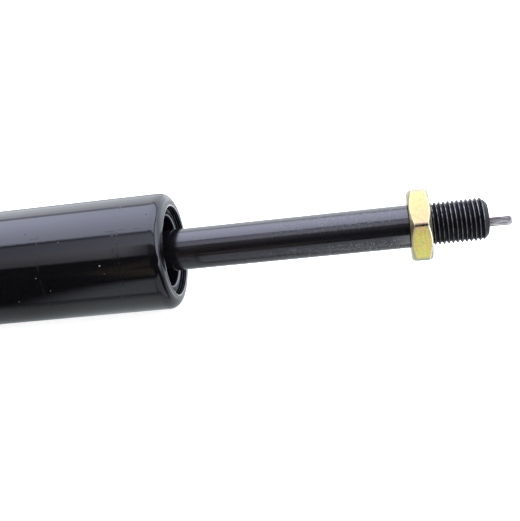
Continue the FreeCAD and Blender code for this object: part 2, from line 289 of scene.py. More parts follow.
def mouth_guide():
    """Guide behind the rolled mouth: pocket with a raised rim, bush seat, ring groove and turning rings.

    The turning rings are shallow grooves in its face, bell-shaped in section. They are rubbed to bright
    metal, and so are the rim's inner edge on the far side and its outer edge at the bottom; that metal is
    partly wear and partly painted highlight where the light catches it.
    """
    angle = round_angles(144)
    face_x = GUIDE_END - RIM_HEIGHT
    pocket_r = GUIDE_R - POCKET_WALL
    rim_r = pocket_r + POCKET_RIM
    floor = face_x - POCKET_DEPTH
    seat = GUIDE_START + 1
    seat_r = ROD_R + BUSH_WALL
    bore_r = ROD_R + 0.3
    outline = corners([
        (GUIDE_START, bore_r), (GUIDE_START, GUIDE_R - END_CHAMFER), (GUIDE_START + END_CHAMFER, GUIDE_R),
        *ring_groove((GUIDE_START + face_x) / 2, GUIDE_R),
        (face_x - SEAT_CHAMFER, GUIDE_R), (face_x, GUIDE_R - SEAT_CHAMFER), (face_x, rim_r),
        (GUIDE_END, rim_r), (GUIDE_END, pocket_r + EDGE_BREAK), (GUIDE_END - EDGE_BREAK, pocket_r),
        (floor, pocket_r), (floor, seat_r), (seat, seat_r), (seat, bore_r),
    ], CORNER_CUT)
    corners_before_face = 9
    split = corners_before_face * CORNER_POINTS
    ring_radii, ring_width, ring_depth = (9.9, 10.3), 0.06, 0.04

    def turned_rings(r):
        """1 in the middle of each turning ring, and 0 away from it."""
        return sum(np.exp(-(((r - at) / ring_width) ** 2)) for at in ring_radii)

    radii = np.linspace(GUIDE_R - SEAT_CHAMFER - 0.1, rim_r + 0.1, 101)
    face = np.stack([face_x - ring_depth * turned_rings(radii), radii], 1)
    x, r = rows(np.concatenate([outline[:split], face, outline[split:]]), len(angle))
    piece = make_piece("mouth_guide", x, r, angle, True)
    # Painted highlights: the rim's edges and the turning rings show metal where the light catches them, on
    # the far side from the camera and at the bottom; partly also wear
    camera_side = deg(149)
    far_side = ease(np.abs(angle - camera_side), deg(60), deg(95))
    bottom = np.exp(-(((angle - deg(285)) / deg(35)) ** 2))
    edges = np.where(r < pocket_r + EDGE_BREAK + CORNER_CUT, far_side, 0.6 * bottom)
    rim = (x > GUIDE_END - 0.08) * (r > pocket_r + EDGE_BREAK - CORNER_CUT)
    mark(piece, "bare_and_painted_highlight", rim * edges + (x > face_x - 0.1) * (r > rim_r) * turned_rings(r))
    return piece


def threaded(x, angle, start, end, chamfer):
    """Radius and tooth height of an M10x1 thread between two stations, as grids over station and angle.

    The tooth winds once round in each pitch and rises out of a plain neck at start. A 45 degree cone cuts it
    at end.
    """
    height = tooth((x / PITCH + PHASE - angle / (2 * np.pi)) % 1)
    height = height * ease(np.abs(x - start), 0.15, 0.9)
    r = ROOT_R + (CREST_R - ROOT_R) * height
    return np.minimum(r, CREST_R - chamfer + np.abs(end - x)), height


def hollow_rod():
    """Rod: spigot, polished shaft, shoulder, right-hand thread and the bore of the release pin."""
    angle = round_angles(144)
    shaft = ROD_START + SPIGOT
    end_r = CREST_R - THREAD_CHAMFER
    before = corners([
        (ROD_START, BORE_R), (ROD_START, SPIGOT_R), (shaft, SPIGOT_R), (shaft, ROD_R - EDGE_BREAK),
        (shaft + EDGE_BREAK, ROD_R), (SHOULDER - EDGE_BREAK, ROD_R), (SHOULDER, ROD_R - EDGE_BREAK),
        (SHOULDER, ROOT_R), (SHOULDER + EDGE_BREAK, ROOT_R),
    ], CORNER_CUT)[:-CORNER_POINTS]
    # The thread's own rows lead up to the middle of the first of these corners
    after = open_corners([
        (SHOULDER, end_r), (ROD_END, end_r), (ROD_END, BORE_R + EDGE_BREAK), (ROD_END - EDGE_BREAK, BORE_R),
        (ROD_START, BORE_R),
    ])[CORNER_POINTS // 2 :]
    along = np.linspace(SHOULDER + 0.12, ROD_END - 0.03, 421)
    x, r = rows(np.concatenate([before, np.stack([along, along], 1), after]), len(angle))
    part = slice(len(before), len(before) + len(along))
    winding = np.zeros_like(r)
    r[part], winding[part] = threaded(x[part], angle, SHOULDER, ROD_END, THREAD_CHAMFER)
    piece = make_piece("threaded_rod", x, r, angle, True)
    mark(piece, "crest", winding * (r > CREST_R - CREST_BAND))
    second_finish(piece, part.start, part.stop + 1, len(angle))
    return piece


def plug_with_stud():
    """End plug: boss in the rolled end, a round recess, and a stud with the same thread as the rod."""
    angle = round_angles(144)
    neck = PLUG_START + STUD_THREAD
    thread_end = neck + 0.3
    seat = PLUG_START + STUD_LENGTH
    base = seat + PLUG_BOSS
    recess = seat + 0.6
    recess_r = CREST_R + 0.7
    boss_r = MOUTH_R - FIT
    body_r = TUBE_R - TUBE_WALL - FIT
    tip_r = CREST_R - STUD_CHAMFER
    pole_r = 0.4
    tip = np.concatenate([
        [[PLUG_START, pole_r]],
        open_corners([(PLUG_START, 0), (PLUG_START, tip_r), (PLUG_START + STUD_CHAMFER, CREST_R)]),
    ])
    along = np.linspace(PLUG_START + 0.1, thread_end, 261)
    body = np.concatenate([
        open_corners([
            (neck, STUD_NECK_R), (recess, STUD_NECK_R), (recess, recess_r), (seat, recess_r), (seat, boss_r),
            (base, boss_r), (base, body_r - SEAT_CHAMFER), (base + SEAT_CHAMFER, body_r),
            *ring_groove((base + PLUG_END) / 2, body_r),
            (PLUG_END - END_CHAMFER, body_r), (PLUG_END, body_r - END_CHAMFER), (PLUG_END, pole_r),
        ]),
        [[PLUG_END, pole_r]],
    ])
    x, r = rows(np.concatenate([tip, np.stack([along, along], 1), body]), len(angle))
    part = slice(len(tip), len(tip) + len(along))
    winding = np.zeros_like(r)
    r[part], winding[part] = threaded(x[part], angle, thread_end, PLUG_START, STUD_CHAMFER)
    fade = ease(x[part], neck - 0.2, thread_end)
    r[part] = r[part] * (1 - fade) + STUD_NECK_R * fade
    piece = make_piece("plug_with_stud", x, r, angle, False)
    mark(piece, "crest", winding * (r > CREST_R - CREST_BAND))
    second_finish(piece, part.start, part.stop, len(angle))
    return piece


def hexagon_nut():
    """Nut: a hexagon with rounded corners, cut by a 30 degree cone on both faces, and a threaded bore.

    The hexagon's radius at an angle is flat / cos(angle from the flat's middle), and near a corner it is the
    far side of a circle that touches both flats. Where the cone meets it, the cone's station follows from
    that radius, and a parabola rounds that edge.
    """
    corner_round = 1.0
    edge_cut = 0.22
    chamfer = 0.5
    bore_r = CREST_R + 0.06
    mouth_r = bore_r + chamfer
    half_side = math.pi / 6
    centre = (NUT_FLAT - corner_round) / math.cos(half_side)
    tangent = math.atan2(corner_round * math.sin(half_side), centre + corner_round * math.cos(half_side))
    near = np.concatenate([np.linspace(0, tangent, 9), np.linspace(tangent, half_side, 10)[1:]])
    half = np.concatenate([-near[::-1], near[1:]])[:-1]
    angle = (np.pi / 2 + half[None, :] + np.arange(6)[:, None] * np.pi / 3).ravel()
    off = np.tile(half, 6)
    bent = centre * np.cos(off) + np.sqrt(np.maximum(corner_round**2 - (centre * np.sin(off)) ** 2, 0))
    flat = NUT_FLAT / np.cos(half_side - np.abs(off))
    hexagon = np.where(np.abs(off) < tangent, bent, flat)
    cone = deg(30)
    drop = (hexagon - NUT_FACE_R) * math.tan(cone)

    def strip(x0, r0, x1, r1, count):
        """Straight rows from one edge to another; the edges may change with the angle."""
        t = np.linspace(0, 1, count)[:, None]
        return x0 + (x1 - x0) * t, r0 + (r1 - r0) * t

    def worn_edge(x, inwards):
        """Rows of the rounded edge, from cone to flat; inwards is 1 or -1, the way in from the face."""
        s = np.linspace(0, 1, 6)[:, None]
        back = edge_cut * (1 - s) ** 2
        return x + inwards * (edge_cut * s**2 - back * math.sin(cone)), hexagon - back * math.cos(cone)

    ones = np.ones_like(angle)
    first, last = NUT_START * ones, NUT_END * ones
    face, mouth, bore = NUT_FACE_R * ones, mouth_r * ones, bore_r * ones
    left = worn_edge(NUT_START + drop, 1)
    right = [grid[::-1] for grid in worn_edge(NUT_END - drop, -1)]
    parts = [
        strip(first, mouth, first, face, 6),
        strip(first, face, left[0][0], left[1][0], 6),
        left,
        strip(left[0][-1], hexagon, right[0][0], hexagon, 12),
        right,
        strip(right[0][-1], right[1][-1], last, face, 6),
        strip(last, face, last, mouth, 6),
        strip(last, mouth, last - chamfer, bore, 4),
        strip(last - chamfer, bore, first + chamfer, bore, 81),
        strip(first + chamfer, bore, first, mouth, 4),
    ]
    left_cone, left_edge, right_edge, right_cone, thread = 1, 2, 4, 5, 8
    x = np.concatenate([p[0][:-1] for p in parts])
    r = np.concatenate([p[1][:-1] for p in parts])
    starts = np.cumsum([0] + [len(p[0]) - 1 for p in parts])
    cut = slice(starts[thread], starts[thread + 1])
    winding = tooth((x[cut] / PITCH + PHASE + 0.5 - angle / (2 * np.pi)) % 1)
    depth = np.minimum(x[cut] - NUT_START, NUT_END - x[cut])
    thread_depth = 0.12
    r[cut] += thread_depth * (1 - winding) * ease(depth, 0.4, 0.9)
    piece = make_piece("hexagon_nut", x, r, angle, True)
    corner = np.broadcast_to(1 - ease(np.abs(off), tangent * 0.5, tangent * 1.6), x.shape).copy()
    corner[r < hexagon - 1e-6] = 0
    mark(piece, "corner", corner)
    # The edge amounts paint highlights as well as wear: the right face's edge is brighter than the left
    for name, amounts in (("cone", {left_cone: 1, right_cone: 1}), ("edge", {left_edge: 0.4, right_edge: 1})):
        here = np.zeros_like(x)
        for k, amount in amounts.items():
            here[starts[k] + 1 : starts[k + 1]] = amount
        mark(piece, name, here)
    piece.data.set_sharp_from_angle(angle=deg(24))
    return piece


def wire_pin():
    """Release pin: a drawn wire, its end cropped and chamfered, its skin a little uneven where it shows."""
    angle = round_angles(64)
    chamfer = 0.42
    start_cut = 0.1
    pole_r = 0.2
    along = np.linspace(ROD_END - 3, PIN_END - 0.75, 90)
    tip = [(PIN_START, PIN_R), (PIN_END - chamfer, PIN_R), (PIN_END, PIN_R - chamfer), (PIN_END, 0)]
    outline = np.concatenate([
        [[PIN_START, pole_r], [PIN_START, PIN_R - start_cut], [PIN_START + start_cut, PIN_R]],
        np.stack([along, np.full_like(along, PIN_R)], 1),
        open_corners(tip, 0.1),
        [[PIN_END, pole_r]],
    ])
    x, r = rows(outline, len(angle))
    shown = ease(x, ROD_END - 2.5, ROD_END)
    dents = np.cos(3 * angle + 1.7 * x) * np.cos(2.3 * x + angle) + 0.7 * np.cos(5 * angle - 3.1 * x + 1)
    r = r * (1 - shown * 0.012 * (1 + dents))
    return make_piece("wire_pin", x, r, angle, False, -PIN_DROP)


# Tools for finishes and lights


def finish(name):
    """A new material, its node tree and its main shader."""
    material = bpy.data.materials.new(name)
    material.use_nodes = True
    tree = material.node_tree
    return material, tree, tree.nodes["Principled BSDF"]


def node(tree, kind, inputs, **settings):
    """One node of a tree. An input is a number or colour, or another node's output."""
    made = tree.nodes.new("ShaderNode" + kind)
    for key, value in settings.items():
        setattr(made, key, value)
    for key, value in inputs.items():
        if isinstance(value, bpy.types.NodeSocket):
            tree.links.new(value, made.inputs[key])
        else:
            made.inputs[key].default_value = value
    return made


def place(tree, stretch=(1, 1, 1)):
    """Object coordinates, stretched along the axes."""
    where = node(tree, "TexCoord", {}).outputs["Object"]
    return node(tree, "Mapping", {"Vector": where, "Scale": stretch}).outputs["Vector"]


def along_axes(tree, where):
    """The X, Y and Z of a place or a direction."""
    return node(tree, "SeparateXYZ", {0: where}).outputs


def noise(tree, where, scale, detail=3.0, rough=0.55):
    """Cloudy noise, about 0.3 to 0.7; scale is in cells per metre."""
    inputs = {"Vector": where, "Scale": scale, "Detail": detail, "Roughness": rough}
    return node(tree, "TexNoise", inputs).outputs["Fac"]


def level(tree, value, low, high, to_low=0.0, to_high=1.0):
    """Maps a number from one range to another, with soft ends."""
    inputs = {"Value": value, 1: low, 2: high, 3: to_low, 4: to_high}
    return node(tree, "MapRange", inputs, interpolation_type="SMOOTHSTEP").outputs["Result"]


def reckon(tree, kind, a, b=0.0):
    """Arithmetic on one or two numbers."""
    return node(tree, "Math", {0: a, 1: b}, operation=kind).outputs["Value"]


def times(tree, *factors):
    """Product of numbers."""
    return reduce(lambda a, b: reckon(tree, "MULTIPLY", a, b), factors)


def plus(tree, *terms):
    """Sum of numbers."""
    return reduce(lambda a, b: reckon(tree, "ADD", a, b), terms)


def minus(tree, a, b):
    """Difference of two numbers."""
    return reckon(tree, "SUBTRACT", a, b)


def larger(tree, a, b):
    """The larger of two numbers."""
    return reckon(tree, "MAXIMUM", a, b)


def blend(tree, share, a, b):
    """Mixes two colours."""
    made = node(tree, "Mix", {0: share}, data_type="RGBA")
    for socket, value in ((made.inputs[6], a), (made.inputs[7], b)):
        if isinstance(value, bpy.types.NodeSocket):
            tree.links.new(value, socket)
        else:
            socket.default_value = (*value, 1)
    return made.outputs[2]


def relief(tree, height, depth, base=None):
    """Bumps a surface by a height of 0 to 1 times a depth in metres."""
    inputs = {"Height": height, "Distance": depth, "Strength": 1.0}
    if base is not None:
        inputs["Normal"] = base
    return node(tree, "Bump", inputs).outputs["Normal"]


def marked(tree, name):
    """A number stored on the piece."""
    return node(tree, "Attribute", {}, attribute_name=name).outputs["Fac"]


def specks(tree, where, scale, size, share):
    """Sparse round dots: 1 near the middle of a few of the cells, 0 elsewhere."""
    cells = node(tree, "TexVoronoi", {"Vector": where, "Scale": scale})
    dot = level(tree, cells.outputs["Distance"], size * 0.5, size, 1.0, 0.0)
    pick = node(tree, "SeparateColor", {0: cells.outputs["Color"]}).outputs[0]
    return times(tree, dot, reckon(tree, "LESS_THAN", pick, share))


def link(tree, shader, **sockets):
    """Joins node outputs to the shader's sockets, with _ for a space in a socket's name."""
    for key, value in sockets.items():
        tree.links.new(value, shader.inputs[key.replace("_", " ").title()])


# Finishes

# Blemishes of the paint: millimetres back from the mouth, degrees from the front over the top, radius in mm
DUST = [
    (14.2, 22, 0.25), (23.7, 48, 0.12), (29.8, 16, 0.16), (27.1, 2, 0.13), (35.6, -7, 0.15),
    (13.4, 14, 0.11), (52.0, 35, 0.2), (61.0, 8, 0.18), (75.0, 120, 0.2), (88.0, 205, 0.24),
    (96.0, 70, 0.18), (118.0, 260, 0.2), (31.0, 170, 0.2), (12.0, 235, 0.2), (130.0, 20, 0.18),
]
PITS = [(3.0, 68, 0.25), (32.0, 60, 0.22), (66.0, 85, 0.25), (104.0, 150, 0.25)]
SCUFFS = [
    (11.5, 53.5, 0.24), (8.6, 54, 0.2), (5.0, 53.5, 0.2), (29.5, 54, 0.22), (38.0, 50.5, 0.2),
    (35.3, 50.5, 0.22), (57.0, 140, 0.25), (81.0, 30, 0.25), (112.0, 215, 0.25),
]
# Dull rings round the paint: millimetres back from the mouth
SMUDGES = [9.7, 10.8, 28.9]
BLACKENED = (0.002, 0.002, 0.0022), (0.006, 0.006, 0.0065)


def spots(tree, places, stretch=1.0):
    """1 in the middle of each listed place on the tube and 0 away from it; stretch draws it out along X."""
    where = place(tree, (1 / stretch, 1, 1))
    total = 0.0
    for back, turn, radius in places:
        a = deg(turn)
        middle = Vector(((TUBE_END - back) / stretch, -TUBE_R * math.cos(a), TUBE_R * math.sin(a))) * MM
        away = node(tree, "VectorMath", {0: where, 1: middle}, operation="DISTANCE").outputs["Value"]
        total = larger(tree, total, level(tree, away, 0.3 * radius * MM, radius * MM, 1.0, 0.0))
    return total


def gloss_black_paint():
    """Sprayed black paint: slight orange peel, a few dust grains, pits and scuffs, and dull rings."""
    black, grain, bare_metal_and_highlight = (0.0025, 0.0024, 0.0026), (0.2, 0.195, 0.185), (0.25, 0.255, 0.26)
    material, tree, shader = finish("gloss_black_paint")
    shader.inputs["IOR"].default_value = 1.5
    where = place(tree)
    along = along_axes(tree, where)["X"]
    dust = spots(tree, DUST)
    dull = plus(tree, times(tree, spots(tree, PITS), 0.8), times(tree, spots(tree, SCUFFS, 9.0), 0.35))
    smudge = level(tree, noise(tree, where, 800.0), 0.42, 0.62, 0.0, 0.22)
    for back in SMUDGES:
        away = reckon(tree, "ABSOLUTE", minus(tree, along, (TUBE_END - back) * MM))
        ring = level(tree, away, 0.0, 0.0005, 1.0, 0.0)
        dull = larger(tree, dull, times(tree, ring, smudge))
    colour = blend(tree, dust, black, grain)
    # Metal at the mouth's burr and lines: partly wear, partly painted highlight
    colour = blend(tree, marked(tree, "bare_and_painted_highlight"), colour, bare_metal_and_highlight)
    cloud = level(tree, noise(tree, where, 45.0, 4.0), 0.3, 0.7, 0.07, 0.12)
    rough = plus(tree, cloud, times(tree, dust, 0.3), dull)
    peel = noise(tree, place(tree, (0.5, 1, 1)), 1000.0)
    sag = noise(tree, place(tree, (0.25, 1, 1)), 160.0, 2.0)
    normal = relief(tree, peel, 4.0e-6, relief(tree, sag, 5.0e-6))
    normal = relief(tree, dust, 1.5e-5, normal)
    link(tree, shader, base_color=colour, roughness=rough, normal=normal)
    return material


def black_rod():
    """Black nitrided and polished steel, faintly ground round, mottled and stained towards the nut."""
    black, stained, speck = (0.005, 0.0047, 0.005), (0.044, 0.041, 0.039), (0.14, 0.122, 0.08)
    material, tree, shader = finish("black_rod")
    shader.inputs["IOR"].default_value = 1.6
    where = place(tree)
    axes = along_axes(tree, where)
    along, height = axes["X"], axes["Z"]
    near_nut = level(tree, along, 0.15, 0.187)
    under = level(tree, height, 0.0005, -0.0005)
    cloud = level(tree, noise(tree, where, 1700.0, 5.0, 0.75), 0.46, 0.7)
    stain = times(tree, cloud, plus(tree, under, level(tree, height, 0.0024, 0.0036)), near_nut)
    grains = times(tree, specks(tree, where, 2000.0, 0.32, 0.3), level(tree, along, 0.178, 0.198), under)
    colour = blend(tree, grains, blend(tree, stain, black, stained), speck)
    polish = level(tree, noise(tree, where, 120.0, 4.0), 0.3, 0.7, 0.1, 0.17)
    rough = plus(tree, polish, times(tree, stain, 0.14))
    grind = noise(tree, place(tree, (60, 1, 1)), 60.0)
    pits = times(tree, noise(tree, where, 2100.0, 4.0), near_nut, level(tree, height, 0.0024, 0.0038))
    normal = relief(tree, grind, 6.0e-7, relief(tree, pits, 2.2e-5))
    link(tree, shader, base_color=colour, roughness=rough, normal=normal)
    return material


def black_thread():
    """Blackened cut thread: dull flanks, and crests rubbed to bright metal here and there, most of all on
    top, where the extra metal is a painted highlight.
    """
    bare_metal_and_highlight = 0.23, 0.225, 0.215
    material, tree, shader = finish("black_thread")
    shader.inputs["IOR"].default_value = 1.27
    where = place(tree)
    crest = level(tree, marked(tree, "crest"), 0.9, 1.0)
    patches = level(tree, noise(tree, where, 900.0), 0.3, 0.6)
    # Crests show more metal towards the top: partly wear, partly a painted highlight of the light from above
    painted_top_highlight = level(tree, along_axes(tree, where)["Z"], 0.001, 0.0025, 0.45, 1.0)
    wear_and_highlight_mask = times(tree, crest, patches, painted_top_highlight)
    colour = blend(tree, noise(tree, where, 1500.0), *BLACKENED)
    colour = blend(tree, wear_and_highlight_mask, colour, bare_metal_and_highlight)
    rough = level(tree, noise(tree, where, 500.0, 4.0), 0.3, 0.7, 0.26, 0.4)
    normal = relief(tree, noise(tree, where, 1600.0), 1.5e-6)
    link(tree, shader, base_color=colour, roughness=rough, normal=normal, metallic=wear_and_highlight_mask)
    return material


def black_turned_steel(name, ior, rough):
    """Blackened turned steel, matt and cloudy, with rubbed edges whose bright metal is partly wear and partly
    painted highlight.
    """
    bare_metal_and_highlight = 0.3, 0.305, 0.31
    material, tree, shader = finish(name)
    shader.inputs["IOR"].default_value = ior
    where = place(tree)
    # The rubbed edges' metal is partly wear and partly painted highlight
    bare_and_painted_highlight = marked(tree, "bare_and_painted_highlight")
    colour = blend(tree, noise(tree, where, 300.0), *BLACKENED)
    colour = blend(tree, bare_and_painted_highlight, colour, bare_metal_and_highlight)
    rough = level(tree, noise(tree, where, 500.0, 4.0), 0.3, 0.7, rough, rough + 0.15)
    normal = relief(tree, noise(tree, where, 1600.0), 1.5e-6)
    link(tree, shader, base_color=colour, roughness=rough, normal=normal, metallic=times(tree, bare_and_painted_highlight, 0.6))
    return material


def yellow_zinc():
    """Yellow chromate on zinc: gold with fine pink and green clouds, painted darker and duller on top,
    painted shade that tones down the strong light there, and paler on the cones.

    It is brown at the corners, and the edges of the cones are rubbed to pale zinc, partly wear and partly
    painted highlight.
    """
    gold, pink, green = (0.41, 0.352, 0.082), (0.43, 0.25, 0.13), (0.3, 0.37, 0.11)
    top_shade_brown, top_shade_green = (0.255, 0.215, 0.112), (0.255, 0.26, 0.118)
    dirt, pale, bare_zinc_and_highlight = (0.2, 0.15, 0.045), (0.36, 0.34, 0.24), (0.72, 0.7, 0.6)
    corner_below, corner_above = (0.17, 0.19, 0.13), (0.3, 0.24, 0.15)
    material, tree, shader = finish("yellow_zinc")
    shader.inputs["Metallic"].default_value = 1.0
    where = place(tree)
    height = along_axes(tree, where)["Z"]
    film = plus(tree, noise(tree, where, 1100.0, 4.0, 0.65), level(tree, height, -0.001, 0.0042, -0.03, 0.05))
    colour = blend(tree, level(tree, film, 0.5, 0.64), gold, pink)
    colour = blend(tree, level(tree, film, 0.48, 0.36), colour, green)
    # Painted shade: the top is a darker, duller copy of the film that tones down the strong light on the
    # upper flat
    top = blend(tree, level(tree, height, 0.0055, 0.009), top_shade_brown, top_shade_green)
    colour = blend(tree, level(tree, height, 0.0044, 0.005, 0.0, 0.75), colour, top)
    grain = noise(tree, where, 2600.0)
    colour = blend(tree, level(tree, grain, 0.55, 0.75, 0.0, 0.4), colour, dirt)
    patches = level(tree, noise(tree, where, 800.0), 0.25, 0.5, 0.55, 1.0)
    brown = blend(tree, level(tree, height, -0.002, 0.002), corner_below, corner_above)
    colour = blend(tree, times(tree, marked(tree, "corner"), patches), colour, brown)
    patches = level(tree, noise(tree, where, 700.0), 0.3, 0.6, 0.35, 0.9)
    colour = blend(tree, times(tree, marked(tree, "cone"), patches), colour, pale)
    patches = level(tree, noise(tree, where, 900.0), 0.25, 0.5, 0.5, 1.0)
    # Pale zinc on the cone edges: partly wear, partly painted highlight, weaker on top
    bare_and_painted_highlight = times(tree, marked(tree, "edge"), patches, level(tree, height, 0.0044, 0.005, 1.0, 0.25))
    colour = blend(tree, bare_and_painted_highlight, colour, bare_zinc_and_highlight)
    rough = level(tree, grain, 0.3, 0.7, 0.26, 0.4)
    link(tree, shader, base_color=colour, roughness=rough, normal=relief(tree, grain, 2.5e-6))
    return material


def drawn_steel():
    """Drawn steel wire: draw lines along the pin, a brown streak on top, and a rough cropped end."""
    dark, light, brown = (0.13, 0.13, 0.119), (0.43, 0.43, 0.385), (0.05, 0.03, 0.026)
    material, tree, shader = finish("drawn_steel")
    shader.inputs["Metallic"].default_value = 0.4
    where = place(tree)
    lines = noise(tree, place(tree, (0.12, 1, 1)), 3500.0)
    streak = level(tree, noise(tree, place(tree, (0.3, 1, 1)), 900.0, 4.0), 0.36, 0.52)
    rust = times(tree, streak, level(tree, along_axes(tree, where)["Z"], -0.0006, 0.0))
    colour = blend(tree, level(tree, lines, 0.35, 0.65), dark, light)
    colour = blend(tree, rust, colour, brown)
    rough = level(tree, lines, 0.3, 0.7, 0.45, 0.65)
    normal = relief(tree, lines, 6.0e-6, relief(tree, noise(tree, where, 1300.0), 1.5e-5))
    link(tree, shader, base_color=colour, roughness=rough, normal=normal)
    return material


def inner_metal(name, light, dark, rough):
    """Machined metal for the pieces inside: tool marks round the axis and a cloudy sheen."""
    material, tree, shader = finish(name)
    shader.inputs["Metallic"].default_value = 1.0
    marks = noise(tree, place(tree, (30, 1, 1)), 120.0)
    link(tree, shader, base_color=blend(tree, marks, dark, light),
         roughness=level(tree, marks, 0.3, 0.7, rough, rough + 0.12), normal=relief(tree, marks, 2.0e-6))
    return material


def inner_soft(name, light, dark, rough):
    """Rubber or bearing plastic for the pieces inside: a matt skin with a fine grain."""
    material, tree, shader = finish(name)
    grain = noise(tree, place(tree), 1800.0)
    link(tree, shader, base_color=blend(tree, grain, dark, light),
         roughness=level(tree, grain, 0.3, 0.7, rough, rough + 0.15), normal=relief(tree, grain, 3.0e-6))
    return material


# The pieces, the bodies that they ride on and the solids that they stand for

paint = gloss_black_paint()
rod_finish = black_rod()
thread = black_thread()
matt = black_turned_steel("matt_black_steel", 1.12, 0.5)
blackened = black_turned_steel("black_turned_steel", 1.35, 0.32)
for piece, body, slot, solid, *materials in (
    (cylinder_tube(), "cylinder", "black_paint", "pressure_tube", paint, matt),
    (mouth_guide(), "cylinder", "black_steel", "rod_guide", matt),
    (plug_with_stud(), "cylinder", "black_steel", "end_plug", blackened, thread),
    (hollow_rod(), "rod", "nitrided_steel", "piston_rod", rod_finish, thread),
    (hexagon_nut(), "nut", "yellow_zinc", "lock_nut", yellow_zinc()),
    (wire_pin(), "release", "bright_steel", "release_pin", drawn_steel()),
):
    for material in materials:
        piece.data.materials.append(material)
    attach(piece, body)
    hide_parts(solid)

steel = inner_metal("turned_steel", (0.5, 0.51, 0.53), (0.36, 0.37, 0.39), 0.25)
inside = {
    steel: ("seal_washer", "piston", "stem_seal_washer", "valve_tappet"),
    inner_metal("turned_aluminium", (0.7, 0.71, 0.73), (0.55, 0.56, 0.58), 0.28): ("floating_piston",),
    inner_metal("sintered_bronze", (0.36, 0.23, 0.1), (0.2, 0.125, 0.055), 0.45): ("guide_bush",),
    inner_soft("black_rubber", (0.025, 0.025, 0.025), (0.015, 0.015, 0.015), 0.5): (
        "end_plug_o_ring", "guide_o_ring", "rod_seal", "piston_seal", "stem_seal", "tappet_seal",
        "floating_piston_o_rings"),
    inner_soft("bearing_plastic", (0.1, 0.22, 0.18), (0.07, 0.17, 0.14), 0.4): ("piston_guide_band",),
}
for material, names in inside.items():
    for name in names:
        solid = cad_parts[name].data
        solid.materials.clear()
        solid.materials.append(material)

# Studio: light from all round, a white floor for the camera, and a card and a strip for the gloss

# The sky from the front over the top to the back: degrees, and a colour that may be up to SKY_PEAK
SKY_PEAK = 7.0
SKY = [
    (-180, (1.5, 1.6, 1.7)), (-20, (0.02, 0.02, 0.02)), (25.7, (0.02, 0.02, 0.02)),
    (27.2, (0.95, 0.95, 1.05)), (44.7, (1.5, 1.5, 1.75)), (59.7, (1.4, 1.4, 1.8)), (66.7, (1.3, 1.3, 1.65)),
    (69.2, (0.5, 0.52, 0.65)), (71.7, (0.5, 0.52, 0.65)), (74.2, (3.4, 3.55, 4.5)), (88.7, (3.85, 4.0, 5.1)),
    (104.7, (4.25, 4.4, 5.7)), (117.7, (4.2, 4.35, 5.6)), (134.7, (3.35, 3.5, 4.4)), (136.2, (1.2, 1.2, 1.5)),
    (140.7, (1.2, 1.2, 1.5)), (142.7, (2.3, 2.4, 2.6)), (156.7, (2.2, 2.3, 2.5)), (166.7, (1.8, 1.9, 2.05)),
    (180, (1.5, 1.6, 1.7)),
]
# The second wall of light: its colour in front and above, and at the back
WALL_FRONT = 3.2, 3.3, 4.1
WALL_BACK = 1.95, 2.2, 2.6


def share_of_peak(colour):
    """A colour of the sky as a share of the peak, because a ramp's colours end at 1."""
    return [part / SKY_PEAK for part in colour]


def sky_colour(tree, turn):
    """The colour of the sky at an angle round the axis."""
    share = node(tree, "MapRange", {"Value": turn, 1: -math.pi, 2: math.pi, 3: 0.0, 4: 1.0}).outputs["Result"]
    ramp = node(tree, "ValToRGB", {"Fac": share})
    stops = ramp.color_ramp.elements
    while len(stops) < len(SKY):
        stops.new(0.5)
    for stop, (at, _) in zip(stops, SKY):
        stop.position = (at + 180) / 360
    for stop, (_, colour) in zip(stops, SKY):
        stop.color = (*share_of_peak(colour), 1)
    return ramp.outputs["Color"]


def brown_glow(tree, turn, slope):
    """A brown band low in front, bell-shaped across, that rises towards +X and fades at both ends."""
    centre = plus(tree, times(tree, slope, deg(150)), deg(52.9))
    away = reckon(tree, "DIVIDE", minus(tree, turn, centre), deg(6))
    glow = reckon(tree, "EXPONENT", times(tree, away, away, -1.0))
    ends = times(tree, level(tree, slope, -0.385, -0.335), level(tree, slope, -0.27, -0.12, 1.0, 0.0))
    return times(tree, glow, ends)


